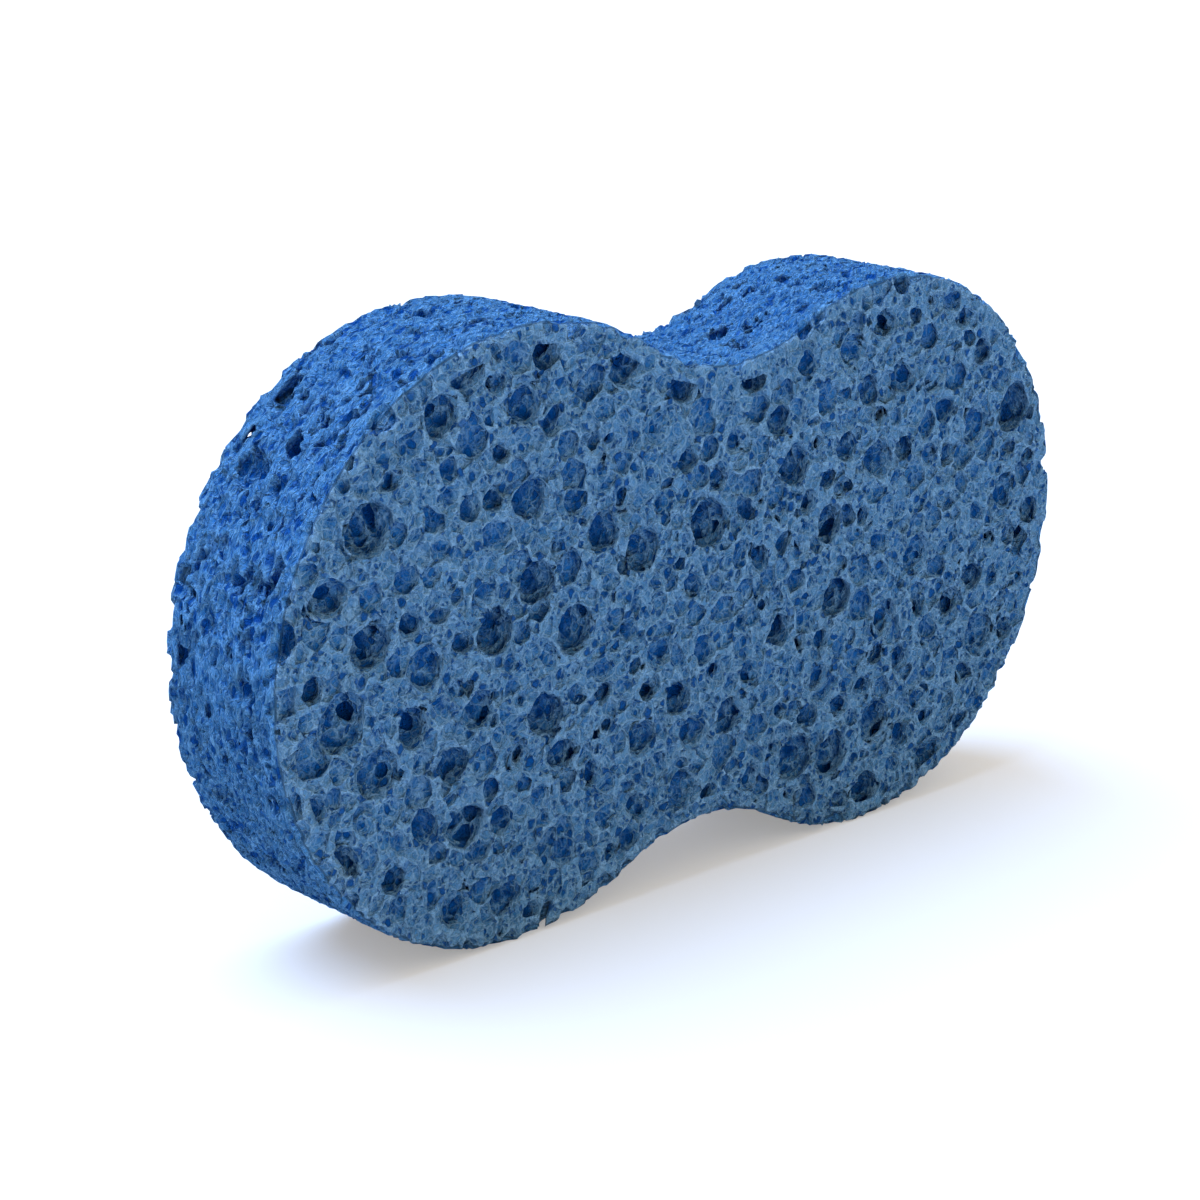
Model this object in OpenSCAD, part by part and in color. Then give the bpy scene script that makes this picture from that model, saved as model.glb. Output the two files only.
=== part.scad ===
// Polish applicator sponge: one figure-eight block of cellulose foam, standing on its long edge.
// Frame: X along the length, Y through the thickness with the front face at -Y, Z up from the bench.

/* [Outline] */
// Length over the two round lobes, in millimetres
sponge_length = 152; // [130:1:175]
// Height of each lobe as the sponge stands
lobe_height = 82; // [74:1:95]
// Radius of the hollows that narrow the grip, above and below
waist_radius = 32; // [24:1:48]
// Thickness between the two broad faces
thickness = 22; // [16:1:32]

/* [Edges] */
// Radius that the cut edges have worn to
edge_round = 2.5; // [1:0.5:4]
// How far the sponge's weight presses each lobe flat on the bench
foot_press = 0.3; // [0.1:0.1:1]

/* [Pores] */
// Radius of the largest bubbles
pore_largest = 4.2; // [2.5:0.1:5.5]
// Radius of the smallest bubbles
pore_smallest = 1.6; // [1:0.1:2.4]
// Foam left between one bubble and the next
pore_wall = 0.25; // [0.2:0.05:1]
// Bubbles tried on each broad face, from the largest down
face_tries = 620; // [100:20:700]
// Bubbles tried around the edge band
band_tries = 360; // [60:20:400]
// Radius kept free of bubbles at the middle of each face and under each lobe
land_radius = 2.5; // [1.5:0.5:4]
// Number that picks one scatter of bubbles
pore_seed = 11; // [1:1:99]

/* [Hidden] */
foam_blue = [0.22, 0.42, 0.68];
round_fn = 96;
pore_fn = 24;
lobe_radius = (lobe_height + foot_press) / 2;
lobe_offset = sponge_length / 2 - lobe_radius;
centre_height = lobe_height - lobe_radius;
waist_offset = sqrt(pow(lobe_radius + waist_radius, 2) - pow(lobe_offset, 2));
join_angle = atan2(waist_offset, -lobe_offset);
join_x = lobe_offset * waist_radius / (lobe_radius + waist_radius);
join_z = waist_offset * lobe_radius / (lobe_radius + waist_radius);
// The lobe's share of the outline from one join round to the next lobe
lobe_share = lobe_radius * join_angle / (lobe_radius * join_angle + waist_radius * (join_angle - 90));
flat_half = thickness / 2 - edge_round;
join_lap = 0.4;
margin = 1;
// A bubble's middle lies this share of its radius below or above the surface
deepest_cell = -0.1;
shallowest_cell = 0.7;
// The band's bubbles are cut across the grain, so they are this share of the faces' size
band_share = 0.7;

// Half section of a lobe about its own axis, with both edges rounded
module lobe_section() {
    translate([0, -flat_half]) square([lobe_radius, 2 * flat_half]);
    translate([0, -thickness / 2]) square([lobe_radius - edge_round, thickness]);
    for (side = [-1, 1])
        translate([lobe_radius - edge_round, side * flat_half]) circle(r = edge_round, $fn = round_fn);
}

// Half section of what a hollow takes away, flared over the rounded edges
module hollow_section() {
    difference() {
        translate([0, -thickness / 2 - margin]) square([waist_radius + edge_round, thickness + 2 * margin]);
        translate([waist_radius, -flat_half]) square([2 * edge_round, 2 * flat_half]);
        for (side = [-1, 1])
            translate([waist_radius + edge_round, side * flat_half]) circle(r = edge_round, $fn = round_fn);
    }
}

module lobe() {
    rotate([90, 0, 0]) rotate_extrude($fn = round_fn) lobe_section();
}

// The narrow middle, which runs a little way into each lobe and stops short of where they are tangent
module waist() {
    difference() {
        cube([2 * (join_x - join_lap), thickness, 2 * join_z], center = true);
        for (side = [-1, 1])
            translate([0, 0, side * waist_offset]) rotate([90, 0, 0])
                rotate_extrude($fn = round_fn) hollow_section();
    }
}

// A point of the outline about the sponge's middle: u runs from 0 to 2 over the right lobe, the upper
// hollow, the left lobe and the lower hollow, at an even pace, and out moves the point clear of the edge
function rim(u, out = 0) = let (turn = u < 1 ? 1 : -1, v = u < 1 ? u : u - 1)
    turn * (v < lobe_share
        ? lobe_point(join_angle * (2 * v / lobe_share - 1), out)
        : hollow_point(join_angle - 180 + (v - lobe_share) / (1 - lobe_share) * (180 - 2 * join_angle), out));
function lobe_point(angle, out) = [lobe_offset, 0] + (lobe_radius + out) * [cos(angle), sin(angle)];
function hollow_point(angle, out) = [0, waist_offset] + (waist_radius - out) * [cos(angle), sin(angle)];

// How far inside the outline a point lies
function depth_inside(x, z) = abs(x) < join_x ? norm([x, waist_offset - abs(z)]) - waist_radius
                                              : lobe_radius - norm([abs(x) - lobe_offset, z]);

// Does a bubble reach past the ends, the top or the bottom of the sponge?
function sticks_out(x, z, r) = abs(x) + r > sponge_length / 2 || abs(z) + r > lobe_radius - foot_press;

// Bubbles as [centre, radius, turn that lays the axis along the surface's normal]. The first tries
// are the largest, and how far a middle stands out makes its pore a shallow dish or a deep cell
function radius_at(share) = pore_largest * pow(pore_smallest / pore_largest, sqrt(share));
function face_bubbles(side, seed) = let (
        along = rands(-sponge_length / 2, sponge_length / 2, face_tries, seed),
        up = rands(-lobe_radius, lobe_radius, face_tries, seed + 1),
        out = rands(deepest_cell, shallowest_cell, face_tries, seed + 2))
    [for (i = [0 : face_tries - 1]) let (r = radius_at(i / face_tries))
        if (depth_inside(along[i], up[i]) > edge_round && !sticks_out(along[i], up[i], r)
                && norm([along[i], up[i]]) > r + land_radius)
            [[along[i], side * (thickness / 2 + out[i] * r), up[i]], r, [90, 0, 0]]];
function band_bubbles(seed) = let (
        around = rands(0, 2, band_tries, seed),
        across = rands(-1, 1, band_tries, seed + 1),
        out = rands(deepest_cell, shallowest_cell, band_tries, seed + 2))
    [for (i = [0 : band_tries - 1])
        let (r = radius_at(i / band_tries) * band_share, p = rim(around[i], out[i] * r),
             outward = rim(around[i], out[i] * r + 1) - p)
        if (norm([abs(p.x) - lobe_offset, p.y + lobe_radius]) > r + 2 * land_radius)
            [[p.x, across[i] * (thickness / 2 - r), p.y], r, [0, atan2(outward.x, outward.y), 0]]];

// Keeps each bubble that leaves a wall to all those kept before it
function meets(b, kept) = len([for (k = kept) if (norm(b[0] - k[0]) < b[1] + k[1] + pore_wall) 1]) > 0;
function settle(tries, i = 0, kept = []) = i == len(tries) ? kept
    : settle(tries, i + 1, meets(tries[i], kept) ? kept : concat(kept, [tries[i]]));

module sponge() {
    front = settle(face_bubbles(-1, pore_seed));
    back = settle(face_bubbles(1, pore_seed + 10), 0, front);
    bubbles = settle(band_bubbles(pore_seed + 20), 0, back);
    color(foam_blue)
        translate([0, 0, centre_height])
            difference() {
                union() {
                    waist();
                    for (side = [-1, 1])
                        translate([side * lobe_offset, 0, 0]) lobe();
                }
                translate([-sponge_length, -thickness, -lobe_height - centre_height])
                    cube([2 * sponge_length, 2 * thickness, lobe_height]);
                for (b = bubbles)
                    translate(b[0]) rotate(b[2]) sphere(r = b[1], $fn = pore_fn);
            }
}

sponge();
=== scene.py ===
import math
import bpy
import numpy as np
import openvdb
from mathutils import Matrix, Vector


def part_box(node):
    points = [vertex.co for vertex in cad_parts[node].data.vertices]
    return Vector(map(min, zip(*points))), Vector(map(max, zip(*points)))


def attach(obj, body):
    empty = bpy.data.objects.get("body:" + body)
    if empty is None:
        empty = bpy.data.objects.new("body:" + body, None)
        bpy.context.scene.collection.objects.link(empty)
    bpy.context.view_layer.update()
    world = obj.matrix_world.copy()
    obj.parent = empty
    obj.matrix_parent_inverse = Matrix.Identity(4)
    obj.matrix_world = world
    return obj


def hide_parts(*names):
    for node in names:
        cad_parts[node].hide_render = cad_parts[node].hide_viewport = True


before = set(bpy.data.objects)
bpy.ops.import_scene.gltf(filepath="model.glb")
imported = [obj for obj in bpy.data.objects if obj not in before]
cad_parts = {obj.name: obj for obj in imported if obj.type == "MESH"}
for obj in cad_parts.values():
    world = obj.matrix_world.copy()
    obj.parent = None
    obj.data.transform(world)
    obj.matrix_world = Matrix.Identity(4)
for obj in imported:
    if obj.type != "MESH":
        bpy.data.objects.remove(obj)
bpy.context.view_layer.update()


# The sponge: one piece of dry cellulose foam, dyed blue, sawn from a slab and die-cut to a figure
# eight. The saw and the die open every bubble that they cross, so all its faces are cells of many
# sizes, flattened through the slab, with thin torn walls between them. It stands on its two lobes.
MM = 0.001
lowest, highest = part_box("sponge")
length, thickness, height = [(high - low) / MM for low, high in zip(lowest, highest)]
foot_press = 0.3
edge_round = 2.5
lobe_radius = (height + foot_press) / 2
lobe_offset = length / 2 - lobe_radius
middle_height = height - lobe_radius
hollow_radius = 32.0
hollow_offset = math.sqrt((lobe_radius + hollow_radius) ** 2 - lobe_offset ** 2)
join_x = lobe_offset * hollow_radius / (lobe_radius + hollow_radius)

grain = np.array([1, 0.46, 1])
voxel = 0.34
skin_layers = 4
deepest_reading = skin_layers * voxel
edge_crispness = 1.2
triangle_budget = 196000

bubble_tries = 600000
largest_bubble = 2.8
smallest_bubble = 0.5
opened_share = 0.7
largest_in_bowl = 1.2
far_away = 9.0
coarse_drift = 0.6
fine_drift = 0.15
cell_wall = 0.14
cell_wall_spread = 0.11
cell_swell = 1.1
floor_rounding = 0.6
deep_share = 0.17
largest_deep_bubble = 1.7
bowl_start = 0.15
bowl_edge_margin = 3.2
bowl_rim_depth = 1.1
strand_share = 0.19
skin_roughness = 0.07


def from_band_and_face(x, y, z):
    """How deep, in millimetres, a place lies under the edge band, and under the nearer broad face."""
    x, y, z = np.abs(x), np.abs(y), np.abs(z - middle_height)
    from_hollow = np.hypot(x, hollow_offset - z) - hollow_radius
    from_band = np.where(x < join_x, from_hollow, lobe_radius - np.hypot(x - lobe_offset, z))
    return from_band, thickness / 2 - y


def depth_below_skin(x, y, z, rounding, squash=1):
    """How deep, in millimetres, a place lies under the block's uncut skin."""
    from_band, from_face = from_band_and_face(x, y, z)
    short_of_band = np.maximum(rounding - from_band, 0)
    short_of_face = np.maximum(rounding - from_face, 0)
    short = np.hypot(short_of_band, short_of_face)
    depth = rounding - short + np.maximum(np.minimum(from_band, from_face) - rounding, 0)
    faces_out = np.where(short > 0, short_of_face / np.maximum(short, 1e-6), from_face < from_band)
    return depth / np.sqrt(1 - faces_out ** 2 * (1 - squash ** 2))


def soft_noise(shape, wavelength, seed):
    """A volume of values between -1 and 1 that change smoothly over one wavelength in millimetres."""
    counts = [int(size * voxel / wavelength) + 3 for size in shape]
    volume = np.random.default_rng(seed).uniform(-1, 1, counts).astype(np.float32)
    for axis, size in enumerate(shape):
        along = np.arange(size) * voxel / wavelength
        start = along.astype(int)
        blend = (along - start) ** 2 * (3 - 2 * (along - start))
        blend = blend.astype(np.float32).reshape([-1 if side == axis else 1 for side in range(3)])
        volume = volume.take(start, axis) * (1 - blend) + volume.take(start + 1, axis) * blend
    return volume


def pack_bubbles(seed, tries, largest, smallest, cut):
    """Round bubbles that the skin opens, as rows of x, y, z and radius, the largest placed first."""
    dice = np.random.default_rng(seed)
    reach = np.array([length / 2, thickness / 2 + 1, height / 2 + 1]) / grain
    spots = dice.uniform(-1, 1, (tries, 3)) * reach + [0, 0, middle_height]
    radii = largest * (smallest / largest) ** (np.linspace(0, 1, tries) ** 0.25)
    depth = depth_below_skin(*(spots * grain).T, edge_round, grain[1])
    cells = np.rint((spots - field_corner) / voxel).astype(int)
    inside = ((cells >= 0) & (cells < field.shape)).all(axis=1)
    in_bowl = inside.copy()
    in_bowl[inside] = cut[tuple(cells[inside].T)] > 2 * bowl_start
    from_bowl = np.full(tries, far_away)
    from_bowl[inside] = np.abs(field[tuple(cells[inside].T)])
    crosses_bowl = (from_bowl < opened_share * radii) & (radii < largest_in_bowl)
    opened = inside & np.where(in_bowl, crosses_bowl, np.abs(depth) < opened_share * radii)
    kept = np.empty((opened.sum(), 4))
    count = 0
    for spot, radius in zip(spots[opened], radii[opened]):
        earlier = kept[:count]
        gaps = ((earlier[:, :3] - spot) ** 2).sum(axis=1) - (earlier[:, 3] + radius) ** 2
        if count == 0 or gaps.min() > 0:
            kept[count] = [*spot, radius]
            count += 1
    return kept[:count]


def open_bubbles(bubbles, floors, places):
    """Volumes of the distances to the nearest bubble and to the next one, and of the nearest's floor."""
    nearest = np.full(field.shape, far_away, np.float32)
    second = nearest.copy()
    floor = np.zeros_like(nearest)
    for (*centre, radius), its_floor in zip(bubbles, floors):
        middle = (np.array(centre) - field_corner) / voxel
        reach = (radius + cell_swell + 2 * cell_wall + coarse_drift) / voxel
        low = np.maximum(np.floor(middle - reach).astype(int), 0)
        high = np.minimum(np.ceil(middle + reach).astype(int) + 1, field.shape)
        window = tuple(slice(a, b) for a, b in zip(low, high))
        away = np.sqrt(sum((place[window] - c) ** 2 for place, c in zip(places, centre))) - radius
        floor[window] = np.where(away < nearest[window], its_floor, floor[window])
        second[window] = np.minimum(second[window], np.maximum(away, nearest[window]))
        nearest[window] = np.minimum(nearest[window], away)
    return nearest, second, floor


def rounded_min(first_volume, second_volume, blend):
    """The lesser of two volumes, with the corner where they meet rounded off."""
    corner = np.maximum(blend - np.abs(first_volume - second_volume), 0) / blend
    return np.minimum(first_volume, second_volume) - corner ** 2 * blend / 4


def blurred(volume, reach):
    """The volume averaged over a cube that reaches that many voxels each way."""
    for axis in range(3):
        margins = [(reach + 1, reach) if side == axis else (0, 0) for side in range(3)]
        padded = np.pad(volume, margins, mode="edge")
        total = np.cumsum(padded, axis=axis, dtype=np.float32)
        count = volume.shape[axis]
        ahead = total.take(np.arange(2 * reach + 1, 2 * reach + 1 + count), axis)
        volume = (ahead - total.take(np.arange(count), axis)) / (2 * reach + 1)
    return volume


def sampled(volume, places, chosen):
    """The volume's values, blended between voxels, at the places that the chosen voxels come from."""
    spots = [(place[chosen] - edge) / voxel for place, edge in zip(places, field_corner)]
    below = [np.clip(spot.astype(int), 0, size - 2) for spot, size in zip(spots, volume.shape)]
    beyond = [spot - start for spot, start in zip(spots, below)]
    total = 0
    for step in np.ndindex(2, 2, 2):
        weights = [part if ahead else 1 - part for part, ahead in zip(beyond, step)]
        corner = tuple(start + ahead for start, ahead in zip(below, step))
        total += np.prod(weights, axis=0) * volume[corner]
    return total


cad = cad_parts["sponge"].data
corners = np.empty(len(cad.vertices) * 3, np.float32)
cad.vertices.foreach_get("co", corners)
corners = corners.reshape(-1, 3) / MM / grain
cad.calc_loop_triangles()
facets = np.empty(len(cad.loop_triangles) * 3, np.int32)
cad.loop_triangles.foreach_get("vertices", facets)

lattice = openvdb.createLinearTransform(voxelSize=voxel)
block = openvdb.FloatGrid.createLevelSetFromPolygons(
    corners.astype(np.float32), triangles=facets.reshape(-1, 3).astype(np.uint32),
    transform=lattice, halfWidth=skin_layers)
first, last = block.evalActiveVoxelBoundingBox()
field = np.empty([end - start + 1 for start, end in zip(first, last)], np.float32)
block.copyToArray(field, ijk=first)
field_corner = np.array(first) * voxel

# Each voxel's place is moved a little by two soft noises, so that no cell comes out round.
places = []
for axis in range(3):
    run = np.arange(field.shape[axis], dtype=np.float32) * voxel + field_corner[axis]
    run = run.reshape([-1 if side == axis else 1 for side in range(3)])
    run = run + coarse_drift * soft_noise(field.shape, 3.1, 5 + axis)
    places.append(run + fine_drift * soft_noise(field.shape, 1.2, 15 + axis))

# The bowls are the open cells that the solid has already. They are moved in the same way.
x, y, z = [np.arange(size, dtype=np.float32) * voxel + edge
           for size, edge in zip(field.shape, field_corner)]
x, y, z = x[:, None, None], y[None, :, None] * grain[1], z[None, None, :]
uncut = depth_below_skin(x, y, z, edge_round, grain[1])
cut = (field + np.clip(uncut, -deepest_reading, deepest_reading)).astype(np.float32)
bowls = np.where(cut > bowl_start, field, -deepest_reading).astype(np.float32)
chosen = blurred((cut > bowl_start).astype(np.float32), 3) > 1e-4
bowls[chosen] = sampled(bowls, places, chosen)
under_band, under_face = from_band_and_face(x, y, z)
from_edge = (under_band + under_face).astype(np.float32)
bowls = np.minimum(bowls, 0.8 * (from_edge - bowl_edge_margin))
depth = depth_below_skin(x, y, z, edge_crispness).astype(np.float32)
skin = depth_below_skin(x, y, z, edge_crispness, grain[1]).astype(np.float32)

# Most cells are shallow, and a few of the smaller ones go deep.
bubbles = pack_bubbles(11, bubble_tries, largest_bubble, smallest_bubble, cut)
dice = np.random.default_rng(8)
floors = dice.uniform(0.25, 0.55, len(bubbles)) * (0.5 + bubbles[:, 3])
from_band, from_face = from_band_and_face(*(bubbles[:, :3] * grain).T)
floors[from_band < from_face] *= 1.2
deep = (dice.random(len(bubbles)) < deep_share) & (bubbles[:, 3] < largest_deep_bubble)
floors[deep] = dice.uniform(1.0, 2.4, deep.sum()) * bubbles[deep, 3]
nearest, second, floor = open_bubbles(bubbles, floors, places)

# The thin walls stand halfway between neighbours. Along the edges little is opened, and strands
# that stand free fall off.
carved = (second - nearest) / 2 - cell_wall - cell_wall_spread * soft_noise(field.shape, 3.3, 31)
local_depth = np.minimum(depth, -bowls)
floor = np.minimum(floor, 0.08 + 0.5 * from_edge)
rim = 2 * cell_wall + np.clip(1 - from_edge / 4, 0, 0.7)
carved = rounded_min(np.minimum(carved, cell_swell - nearest), floor - local_depth, floor_rounding)
carved = np.where(depth < bowl_rim_depth, np.minimum(carved, -bowls - rim), carved)
field = np.maximum(np.maximum(-skin, bowls), carved)
solid = blurred(np.clip(0.5 - field / voxel, 0, 1), 2)
field = np.maximum(field, 4 * (strand_share - solid))
coarse_roughness = skin_roughness * soft_noise(field.shape, 1.5, 41)
field += coarse_roughness + skin_roughness * soft_noise(field.shape, 0.8, 42)

foam_grid = openvdb.FloatGrid(deepest_reading)
foam_grid.transform = lattice
foam_grid.gridClass = openvdb.GridClass.LEVEL_SET
foam_grid.copyFromArray(np.clip(field, -deepest_reading, deepest_reading), ijk=first)
points, triangles, quads = foam_grid.convertToPolygons(isovalue=0, adaptivity=0.6)

foam_mesh = bpy.data.meshes.new("sponge_foam")
facets = quads[:, ::-1].tolist() + triangles[:, ::-1].tolist()
foam_mesh.from_pydata((points * grain * MM).tolist(), [], facets)
foam = bpy.data.objects.new("sponge_foam", foam_mesh)
bpy.context.scene.collection.objects.link(foam)
bpy.ops.object.select_all(action="DESELECT")
foam.select_set(True)
bpy.context.view_layer.objects.active = foam
thin_out = foam.modifiers.new("thin out", "DECIMATE")
thin_out.ratio = min(1, triangle_budget / (2 * len(quads) + len(triangles)))
thin_out.use_collapse_triangulate = True
bpy.ops.object.modifier_apply(modifier=thin_out.name)
foam_mesh.validate()
bpy.ops.object.shade_smooth()

spots = np.empty(len(foam_mesh.vertices) * 3, np.float32)
foam_mesh.vertices.foreach_get("co", spots)
spots = spots.reshape(-1, 3)
spots[:, 2] = np.maximum(spots[:, 2], 0)
foam_mesh.vertices.foreach_set("co", spots.ravel())
spots = spots / MM
solid = np.clip(0.5 - field / voxel, 0, 1)
cell = np.rint((spots / grain - field_corner) / voxel).astype(int)
cell = np.clip(cell, 0, np.array(field.shape) - 1)
under_band, under_face = from_band_and_face(*spots.T)
readings = {"depth": depth_below_skin(*spots.T, edge_crispness),
            "under_band": under_band,
            "under_face": under_face,
            "wall": 1 - 2 * blurred(solid, 2)[tuple(cell.T)],
            "hollow": 1 - 2 * blurred(solid, 4)[tuple(cell.T)]}
for name, values in readings.items():
    reading = foam_mesh.attributes.new(name, "FLOAT", "POINT")
    reading.data.foreach_set("value", values.astype(np.float32))

# Cells too small to carve: each is a dish between thin ridges, and some have a hole in the middle.
open_cells = bpy.data.node_groups.new("open cells", "ShaderNodeTree")
for label, kind in (("Place", "NodeSocketVector"),
                    ("Size", "NodeSocketFloat"),
                    ("Wall", "NodeSocketFloat")):
    open_cells.interface.new_socket(label, in_out="INPUT", socket_type=kind)
for label in ("Dish", "Hole"):
    open_cells.interface.new_socket(label, in_out="OUTPUT", socket_type="NodeSocketFloat")
cell_in = open_cells.nodes.new("NodeGroupInput")
cell_out = open_cells.nodes.new("NodeGroupOutput")
in_cells = open_cells.nodes.new("ShaderNodeVectorMath")
in_cells.operation = "DIVIDE"
open_cells.links.new(cell_in.outputs["Place"], in_cells.inputs[0])
open_cells.links.new(cell_in.outputs["Size"], in_cells.inputs[1])
to_wall = open_cells.nodes.new("ShaderNodeTexVoronoi")
to_wall.feature = "DISTANCE_TO_EDGE"
to_wall.inputs["Scale"].default_value = 1
open_cells.links.new(in_cells.outputs[0], to_wall.inputs["Vector"])
wall_mm = open_cells.nodes.new("ShaderNodeMath")
wall_mm.operation = "MULTIPLY"
open_cells.links.new(to_wall.outputs["Distance"], wall_mm.inputs[0])
open_cells.links.new(cell_in.outputs["Size"], wall_mm.inputs[1])
dish = open_cells.nodes.new("ShaderNodeMapRange")
dish.interpolation_type = "SMOOTHERSTEP"
open_cells.links.new(wall_mm.outputs[0], dish.inputs["Value"])
open_cells.links.new(cell_in.outputs["Wall"], dish.inputs["From Max"])
open_cells.links.new(dish.outputs["Result"], cell_out.inputs["Dish"])
cell_number = open_cells.nodes.new("ShaderNodeTexVoronoi")
cell_number.inputs["Scale"].default_value = 1
open_cells.links.new(in_cells.outputs[0], cell_number.inputs["Vector"])
chance = open_cells.nodes.new("ShaderNodeSeparateColor")
open_cells.links.new(cell_number.outputs["Color"], chance.inputs[0])
hole = open_cells.nodes.new("ShaderNodeMapRange")
hole.interpolation_type = "SMOOTHSTEP"
hole.inputs["From Min"].default_value = 0.55
hole.inputs["From Max"].default_value = 0.30
open_cells.links.new(cell_number.outputs["Distance"], hole.inputs["Value"])
often = open_cells.nodes.new("ShaderNodeMapRange")
often.inputs["From Min"].default_value = 0.74
often.inputs["From Max"].default_value = 0.84
open_cells.links.new(chance.outputs["Red"], often.inputs["Value"])
some_holes = open_cells.nodes.new("ShaderNodeMath")
some_holes.operation = "MULTIPLY"
open_cells.links.new(hole.outputs["Result"], some_holes.inputs[0])
open_cells.links.new(often.outputs["Result"], some_holes.inputs[1])
open_cells.links.new(some_holes.outputs[0], cell_out.inputs["Hole"])

# The finish: dry and matt blue foam, with painted highlights on the ridges and along the edges, painted
# shade deep in the cells, and a painted bluish light on the band.
foam_blue = bpy.data.materials.new("dry cellulose foam")
foam_blue.use_nodes = True
nodes, links = foam_blue.node_tree.nodes, foam_blue.node_tree.links
surface = nodes["Principled BSDF"]
surface.inputs["Roughness"].default_value = 0.85
surface.inputs["Specular IOR Level"].default_value = 0.04


def value_node(operation, first_value, second_value):
    """One Math node, each of whose inputs is a number or another node's output."""
    step = nodes.new("ShaderNodeMath")
    step.operation = operation
    for socket, value in zip(step.inputs, (first_value, second_value)):
        if isinstance(value, (int, float)):
            socket.default_value = value
        else:
            links.new(value, socket)
    return step.outputs[0]


def ramp_node(value, low, high):
    """Runs smoothly from 0 where the value is low to 1 where it is high."""
    step = nodes.new("ShaderNodeMapRange")
    step.interpolation_type = "SMOOTHSTEP"
    links.new(value, step.inputs["Value"])
    step.inputs["From Min"].default_value = low
    step.inputs["From Max"].default_value = high
    return step.outputs["Result"]


def tint_node(base, tint, share):
    """Moves a colour towards a tint by a share that is another node's output."""
    step = nodes.new("ShaderNodeMix")
    step.data_type = "RGBA"
    links.new(share, step.inputs["Factor"])
    for socket, colour in ((step.inputs["A"], base), (step.inputs["B"], tint)):
        if isinstance(colour, tuple):
            socket.default_value = (*colour, 1)
        else:
            links.new(colour, socket)
    return step.outputs["Result"]


def reading_node(name):
    """One of the values that were measured at each point of the mesh."""
    step = nodes.new("ShaderNodeAttribute")
    step.attribute_name = name
    return step.outputs["Fac"]


place = nodes.new("ShaderNodeTexCoord")
in_mm = nodes.new("ShaderNodeVectorMath")
in_mm.operation = "DIVIDE"
in_mm.inputs[1].default_value = (MM, 0.4 * MM, MM)
links.new(place.outputs["Object"], in_mm.inputs[0])
drift = nodes.new("ShaderNodeTexNoise")
drift.inputs["Scale"].default_value = 0.55
drift.inputs["Detail"].default_value = 4
drift.inputs["Roughness"].default_value = 0.65
links.new(in_mm.outputs[0], drift.inputs["Vector"])
drifted = nodes.new("ShaderNodeVectorMath")
drifted.operation = "MULTIPLY_ADD"
drifted.inputs[1].default_value = (1.8, 1.8, 1.8)
links.new(drift.outputs["Color"], drifted.inputs[0])
links.new(in_mm.outputs[0], drifted.inputs[2])

face_reading, band_reading = reading_node("under_face"), reading_node("under_band")
on_band = ramp_node(value_node("SUBTRACT", face_reading, band_reading), -0.2, 0.2)
on_crease = ramp_node(value_node("ADD", face_reading, band_reading), 1.2, 0.3)


def cell_layer(face_size, band_size, wall):
    """Cells too small to carve, in millimetres, which are longer on the band than on the faces."""
    layer = nodes.new("ShaderNodeGroup")
    layer.node_tree = open_cells
    extra = value_node("MULTIPLY", on_band, band_size - face_size)
    links.new(value_node("ADD", extra, face_size), layer.inputs["Size"])
    layer.inputs["Wall"].default_value = wall
    links.new(drifted.outputs[0], layer.inputs["Place"])
    return layer.outputs["Dish"], layer.outputs["Hole"]


small_dish, small_pit = cell_layer(1.5, 2.3, 0.26)
fine_dish, pinhole = cell_layer(0.75, 1.3, 0.16)
fibre = nodes.new("ShaderNodeTexNoise")
fibre.inputs["Scale"].default_value = 2.6
fibre.inputs["Detail"].default_value = 5
fibre.inputs["Roughness"].default_value = 0.7
links.new(in_mm.outputs[0], fibre.inputs["Vector"])

along_band = nodes.new("ShaderNodeVectorMath")
along_band.operation = "MULTIPLY"
along_band.inputs[1].default_value = (1, 2.2, 1)
links.new(in_mm.outputs[0], along_band.inputs[0])
streaks = nodes.new("ShaderNodeTexNoise")
streaks.inputs["Scale"].default_value = 0.9
streaks.inputs["Detail"].default_value = 3
streaks.inputs["Roughness"].default_value = 0.6
links.new(along_band.outputs[0], streaks.inputs["Vector"])
streak_ridge = value_node("MULTIPLY", on_band, ramp_node(streaks.outputs["Fac"], 0.50, 0.66))
streak_slit = value_node("MULTIPLY", on_band, ramp_node(streaks.outputs["Fac"], 0.44, 0.34))

relief = 0
for rise, shape in ((-0.30, small_dish),
                    (-0.16, fine_dish),
                    (-0.80, small_pit),
                    (-0.40, pinhole),
                    (0.40, fibre.outputs["Fac"]),
                    (0.35, streak_ridge),
                    (-0.60, streak_slit)):
    relief = value_node("ADD", relief, value_node("MULTIPLY", shape, rise))
bump = nodes.new("ShaderNodeBump")
bump.inputs["Distance"].default_value = MM
links.new(relief, bump.inputs["Height"])
links.new(bump.outputs["Normal"], surface.inputs["Normal"])

# Painted shade: the foam's own blue runs towards dark navy where a cell is deep and narrow.
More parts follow.
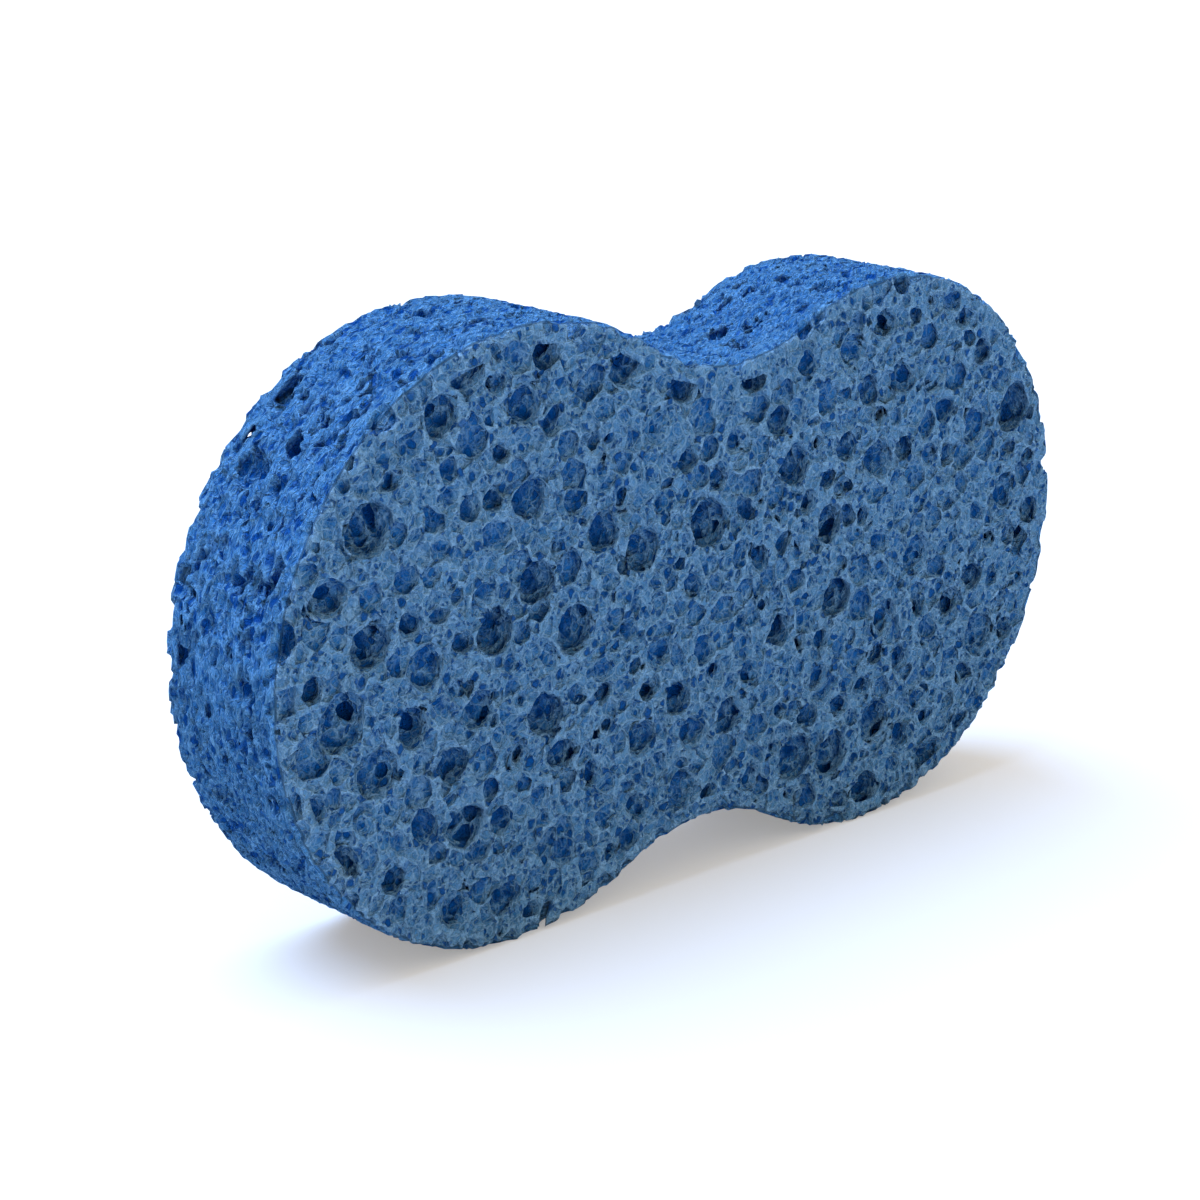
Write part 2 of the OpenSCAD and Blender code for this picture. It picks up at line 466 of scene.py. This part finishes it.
depth_shade_ramp = nodes.new("ShaderNodeValToRGB")
buried = value_node("SUBTRACT", 0.46, value_node("MULTIPLY", reading_node("hollow"), 0.70))
buried = value_node("ADD", buried, value_node("MULTIPLY", reading_node("depth"), 0.06))
links.new(buried, depth_shade_ramp.inputs[0])
stops = depth_shade_ramp.color_ramp.elements
stops[0].position, stops[0].color = 0.05, (0.125, 0.330, 0.610, 1)
stops[1].position, stops[1].color = 1.00, (0.000, 0.080, 0.350, 1)
for share, tint in ((0.40, (0.076, 0.255, 0.525, 1)),
                    (0.62, (0.028, 0.180, 0.470, 1)),
                    (0.82, (0.000, 0.110, 0.420, 1))):
    stops.new(share).color = tint
# Painted highlights: the ridges, the crease along the edges, the fibre and the band's streaks are paled
# towards a light greyish blue, less so deep in the cells.
ridge_highlight_tint = (0.310, 0.590, 0.900)
pit_shade_tint = (0.000, 0.095, 0.400)
highlight_share = 0
for share, ridge in ((0.55, value_node("SUBTRACT", 1, small_dish)),
                     (0.30, value_node("SUBTRACT", 1, fine_dish)),
                     (0.55, ramp_node(reading_node("wall"), 0.3, 0.9)),
                     (0.50, on_crease),
                     (0.20, ramp_node(fibre.outputs["Fac"], 0.5, 0.75)),
                     (0.50, streak_ridge)):
    highlight_share = value_node("ADD", highlight_share, value_node("MULTIPLY", ridge, share))
highlight_share = value_node("MULTIPLY", highlight_share, ramp_node(buried, 1.0, 0.45))
colour = tint_node(depth_shade_ramp.outputs[0], ridge_highlight_tint, value_node("MINIMUM", highlight_share, 1))
# Painted shade: the holes in the small cells, the pinholes and the band's slits are darkened to navy.
colour = tint_node(colour, pit_shade_tint, value_node("MULTIPLY", small_pit, 0.9))
colour = tint_node(colour, pit_shade_tint, value_node("MULTIPLY", pinhole, 0.75))
colour = tint_node(colour, pit_shade_tint, value_node("MULTIPLY", streak_slit, 0.6))
# Painted light: the band is made bluer and less red, as if a bluish light from above fell on it.
band_light_tint = nodes.new("ShaderNodeMix")
band_light_tint.data_type = "RGBA"
band_light_tint.blend_type = "MULTIPLY"
links.new(on_band, band_light_tint.inputs["Factor"])
links.new(colour, band_light_tint.inputs["A"])
band_light_tint.inputs["B"].default_value = (0.86, 1.10, 1.26, 1)
colour = band_light_tint.outputs["Result"]
links.new(colour, surface.inputs["Base Color"])
foam_mesh.materials.append(foam_blue)

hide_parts("sponge")
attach(foam, "root")


# The bench: a wide white sheet under the sponge, with soft light from above and behind.
bpy.ops.mesh.primitive_plane_add(size=12, location=(0, 0, 0))
bench = bpy.context.active_object
bench.name = "bench"
bench_white = bpy.data.materials.new("bench white")
bench_white.use_nodes = True
nodes, links = bench_white.node_tree.nodes, bench_white.node_tree.links
paper = nodes["Principled BSDF"]
paper.inputs["Base Color"].default_value = (0.7, 0.7, 0.7, 1)
paper.inputs["Roughness"].default_value = 1
paper.inputs["Specular IOR Level"].default_value = 0
seen = nodes.new("ShaderNodeLightPath")
paper.inputs["Emission Color"].default_value = (1, 1, 1, 1)
seen_at_all = seen.outputs["Is Camera Ray"]
for ray in ("Is Glossy Ray", "Is Transmission Ray"):
    both = nodes.new("ShaderNodeMath")
    both.use_clamp = True
    links.new(seen_at_all, both.inputs[0])
    links.new(seen.outputs[ray], both.inputs[1])
    seen_at_all = both.outputs[0]
links.new(value_node("MULTIPLY", seen_at_all, 0.30), paper.inputs["Emission Strength"])
bench.data.materials.append(bench_white)

sky = bpy.data.worlds.new("studio")
bpy.context.scene.world = sky
sky.use_nodes = True
sky.node_tree.nodes["Background"].inputs["Color"].default_value = (1.08, 0.98, 0.84, 1)
sky.node_tree.nodes["Background"].inputs["Strength"].default_value = 0.70

sun_data = bpy.data.lights.new("window", "SUN")
sun_data.energy = 2.8
sun_data.angle = math.radians(50)
sun_data.color = (0.60, 0.97, 1.65)
sun = bpy.data.objects.new("window", sun_data)
bpy.context.scene.collection.objects.link(sun)
sun.rotation_euler = Vector((-0.28, 0.30, 0.91)).to_track_quat("Z", "Y").to_euler()

bpy.context.scene.view_settings.view_transform = "Standard"


# The camera: a little above the bench, off the sponge's left front corner.
frame_px = 1200
focal_px = 2532
azimuth, elevation, roll = math.radians(-45.3), math.radians(16.1), math.radians(2.33)
aim = Vector((-0.0120, 0, 0.0397))
distance = 0.344
away = math.cos(elevation)
back = Vector((math.sin(azimuth) * away, -math.cos(azimuth) * away, math.sin(elevation)))
right = Vector((0, 0, 1)).cross(back).normalized()
up = back.cross(right)
tilted_right = right * math.cos(roll) + up * math.sin(roll)
tilted_up = up * math.cos(roll) - right * math.sin(roll)
lens = bpy.data.cameras.new("camera")
lens.sensor_width = 36
lens.lens = focal_px / frame_px * lens.sensor_width
lens.clip_start = 0.01
camera = bpy.data.objects.new("camera", lens)
bpy.context.scene.collection.objects.link(camera)
turn = Matrix((tilted_right, tilted_up, back)).transposed().to_4x4()
camera.matrix_world = Matrix.Translation(aim + back * distance) @ turn
bpy.context.scene.camera = camera
